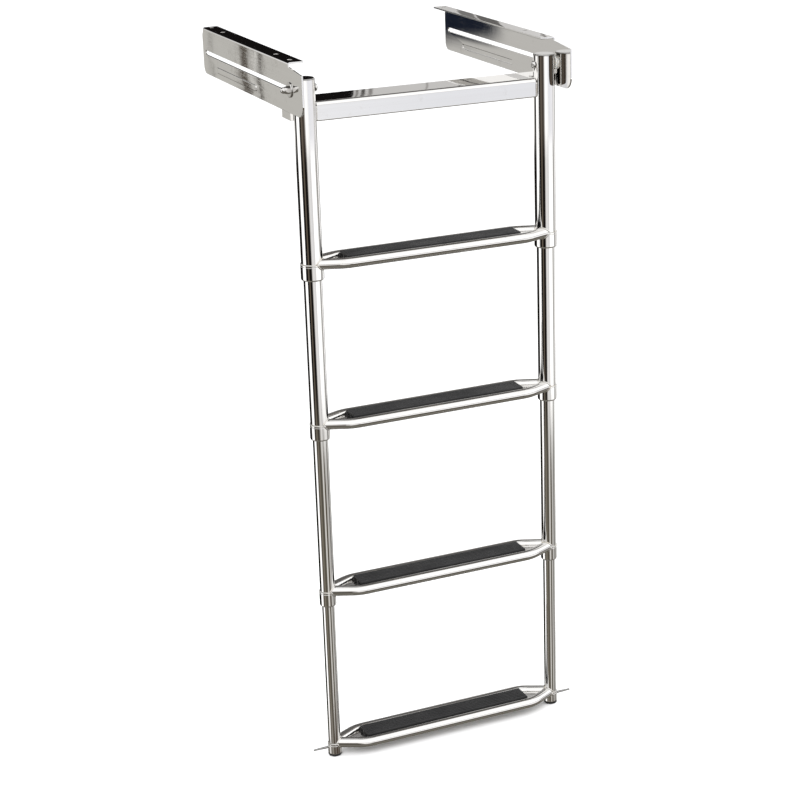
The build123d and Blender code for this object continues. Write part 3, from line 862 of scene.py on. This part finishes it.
class Surroundings(Nodes):
    """Nodes that colour the world by the direction of a ray."""

    def __init__(self, tree):
        super().__init__(tree)
        way = self.node("ShaderNodeSeparateXYZ", {0: self.node("ShaderNodeTexCoord").outputs["Generated"]})
        x, y, z = way.outputs
        bearing = self.math("ARCTAN2", x, self.math("MULTIPLY", y, -1.0))
        self.turn = self.math("ADD", self.math("DIVIDE", bearing, 2 * math.pi), 0.5)
        self.height = self.math("MULTIPLY", self.math("ARCSINE", z), 180 / math.pi)

    def at(self, degrees):
        """A bearing as a share of the full turn, from 0 at -180 degrees to 1 at 180."""
        return (degrees + 180) / 360

    def all_round(self, stops):
        """Colour by bearing, from (degrees, red, green, blue) stops."""
        made = self.node("ShaderNodeValToRGB", {"Fac": self.turn})
        elements = made.color_ramp.elements
        for i, (degrees, *colour) in enumerate(stops):
            element = elements[i] if i < 2 else elements.new(self.at(degrees))
            element.position = self.at(degrees)
            element.color = (*colour, 1)
        return made.outputs["Color"]

    def over(self, low, high):
        """0 below low degrees of height and 1 above high, or the other way round if low is higher."""
        return self.spread(self.height, low, high, smooth=True)

    def between(self, low, high, soft=0.03):
        """1 between two bearings, 0 outside; sharper than a colour ramp can be."""
        rise = self.spread(self.turn, self.at(low - soft), self.at(low + soft), smooth=True)
        fall = self.spread(self.turn, self.at(high + soft), self.at(high - soft), smooth=True)
        return self.math("MULTIPLY", rise, fall)

    def striped(self, walls, stripes):
        for low, high, *colour in stripes:
            walls = self.blend(self.between(low, high), walls, colour)
        return walls


def studio_world():
    """White studio. Polished metal sees white walls and ceiling, dark panels standing round the
    ladder and a thin dark skirting line; everything else is lit plain white."""
    world = bpy.data.worlds.new("studio")
    bpy.context.scene.world = world
    world.use_nodes = True
    s = Surroundings(world.node_tree)

    blue_panel = s.math("MULTIPLY", s.over(-9.3, -8.6), s.between(-157.3, -154.35, 0.3))
    walls_mid = s.blend(blue_panel, s.striped(s.all_round(WALLS_MID), MID_STRIPES), DARK_BLUE)
    layers = (      # from the ground up: each takes over between its two heights in degrees
        (-82.0, -60.0, GROUND),
        (-39.0, -37.0, s.all_round(FAR_FLOOR)),
        (-29.5, -27.0, s.all_round(WALLS_DEEP)),
        (-21.5, -18.3, s.all_round(WALLS_LOW)),
        (-12.4, -11.4, walls_mid),
        (-6.5, -5.0, s.all_round(SKIRTING)),
        (5.0, 8.0, s.striped(s.all_round(UPPER_WALLS), UPPER_STRIPES)),
        (24.0, 30.0, CEILING),
        (62.0, 88.0, ZENITH),
    )
    seen = NADIR
    for low, high, colour in layers:
        seen = s.blend(s.over(low, high), seen, colour)
    behind = s.math("MAXIMUM", s.between(95.0, 185.0, 8.0), s.between(-185.0, -110.0, 8.0))
    edge = s.math("MULTIPLY", s.over(26.0, 29.0), s.over(74.0, 66.0))
    seen = s.blend(s.math("MULTIPLY", edge, behind), seen, CEILING_EDGE)

    mirrored = s.node("ShaderNodeBackground", {"Color": seen, "Strength": 1.0})
    plain = s.node("ShaderNodeBackground", {"Color": (1, 1, 1, 1), "Strength": 1.3})
    glossy = s.node("ShaderNodeLightPath").outputs["Is Glossy Ray"]
    chosen = s.node("ShaderNodeMixShader", {0: glossy, 1: plain.outputs[0], 2: mirrored.outputs[0]})
    s.node("ShaderNodeOutputWorld", {"Surface": chosen.outputs[0]})


def floor_paper():
    """Matt white paper with a fine fibre."""
    s = Surface("floor_paper")
    fibre = s.noise(340.0, 4.0)
    clouds = s.spread(s.noise(1.3, 2.0), 0.3, 0.7)
    s.set(
        Base_Color=s.blend(clouds, (0.90, 0.90, 0.90), (0.92, 0.92, 0.925)),
        Roughness=s.spread(fibre, 0.3, 0.7, 0.8, 0.95), Normal=s.bump(fibre, 0.1 * MM),
    )
    return s.material


def pale_floor():
    """Plain pale floor just under the ladder, a round sheet with finer faces near its middle."""
    reach, rings, segments, gap = 16.0, 24, 96, 0.2 * MM
    points = [(0, LEG_Y, 0)]
    for i in range(1, rings + 1):
        r = reach * (i / rings) ** 2
        points += [(r * c, LEG_Y + r * s, 0) for c, s in circle(segments)]
    faces = [(0, 1 + k, 1 + (k + 1) % segments) for k in range(segments)]
    for i in range(rings - 1):
        inner = 1 + i * segments
        faces += ring_faces(inner + segments, inner, segments)
    floor = new_object("floor", mesh_from("floor", points, faces))
    floor.location.z = cad_low.z - gap
    floor.data.materials.append(floor_paper())
    floor.visible_glossy = False


def soft_light(name, place, target, size, power):
    """Large soft lamp that lights the ladder and isn't itself mirrored in it."""
    data = bpy.data.lights.new(name, "AREA")
    data.shape = "RECTANGLE"
    data.size, data.size_y = size
    data.energy = power
    lamp = new_object(name, data)
    lamp.location = place
    lamp.rotation_mode = "QUATERNION"
    lamp.rotation_quaternion = (Vector(target) - Vector(place)).to_track_quat("-Z", "Y")
    lamp.visible_glossy = False


def front_camera():
    """Camera in front of the ladder, to its left and above it, tilted a little to one side."""
    place = Vector((-1.1521, LEG_Y - 2.6404, 0.4657))
    yaw, pitch, roll = math.radians(24.0), math.radians(-17.8), math.radians(-1.5)
    data = bpy.data.cameras.new("camera")
    data.sensor_width = 36.0
    data.lens = 90.0
    data.shift_x = -0.061
    data.shift_y = -0.06
    data.clip_end = 100.0
    camera = new_object("camera", data)
    level = math.cos(pitch)
    forward = Vector((math.sin(yaw) * level, math.cos(yaw) * level, math.sin(pitch)))
    right = Vector((math.cos(yaw), -math.sin(yaw), 0))
    up = right.cross(forward)
    right, up = math.cos(roll) * right + math.sin(roll) * up, math.cos(roll) * up - math.sin(roll) * right
    turn = Matrix((right, up, -forward)).transposed()
    camera.matrix_world = Matrix.Translation(place) @ turn.to_4x4()
    bpy.context.scene.camera = camera


# ---- the ladder, piece by piece, and its studio -------------------------------------------------

top_pieces()
for i in range(len(STAGES)):
    collars_and_seams(i)
for i in range(len(STAGES)):
    tread_pad(i)
paint_kept_nodes()

studio_world()
pale_floor()
soft_light("key", (-2.2, -2.6, 2.4), (0, LEG_Y, -0.5), (2.4, 2.4), 90)
soft_light("fill", (2.6, -1.4, 1.4), (0, LEG_Y, -0.6), (2.0, 2.6), 35)
front_camera()
bpy.context.scene.view_settings.view_transform = "Standard"
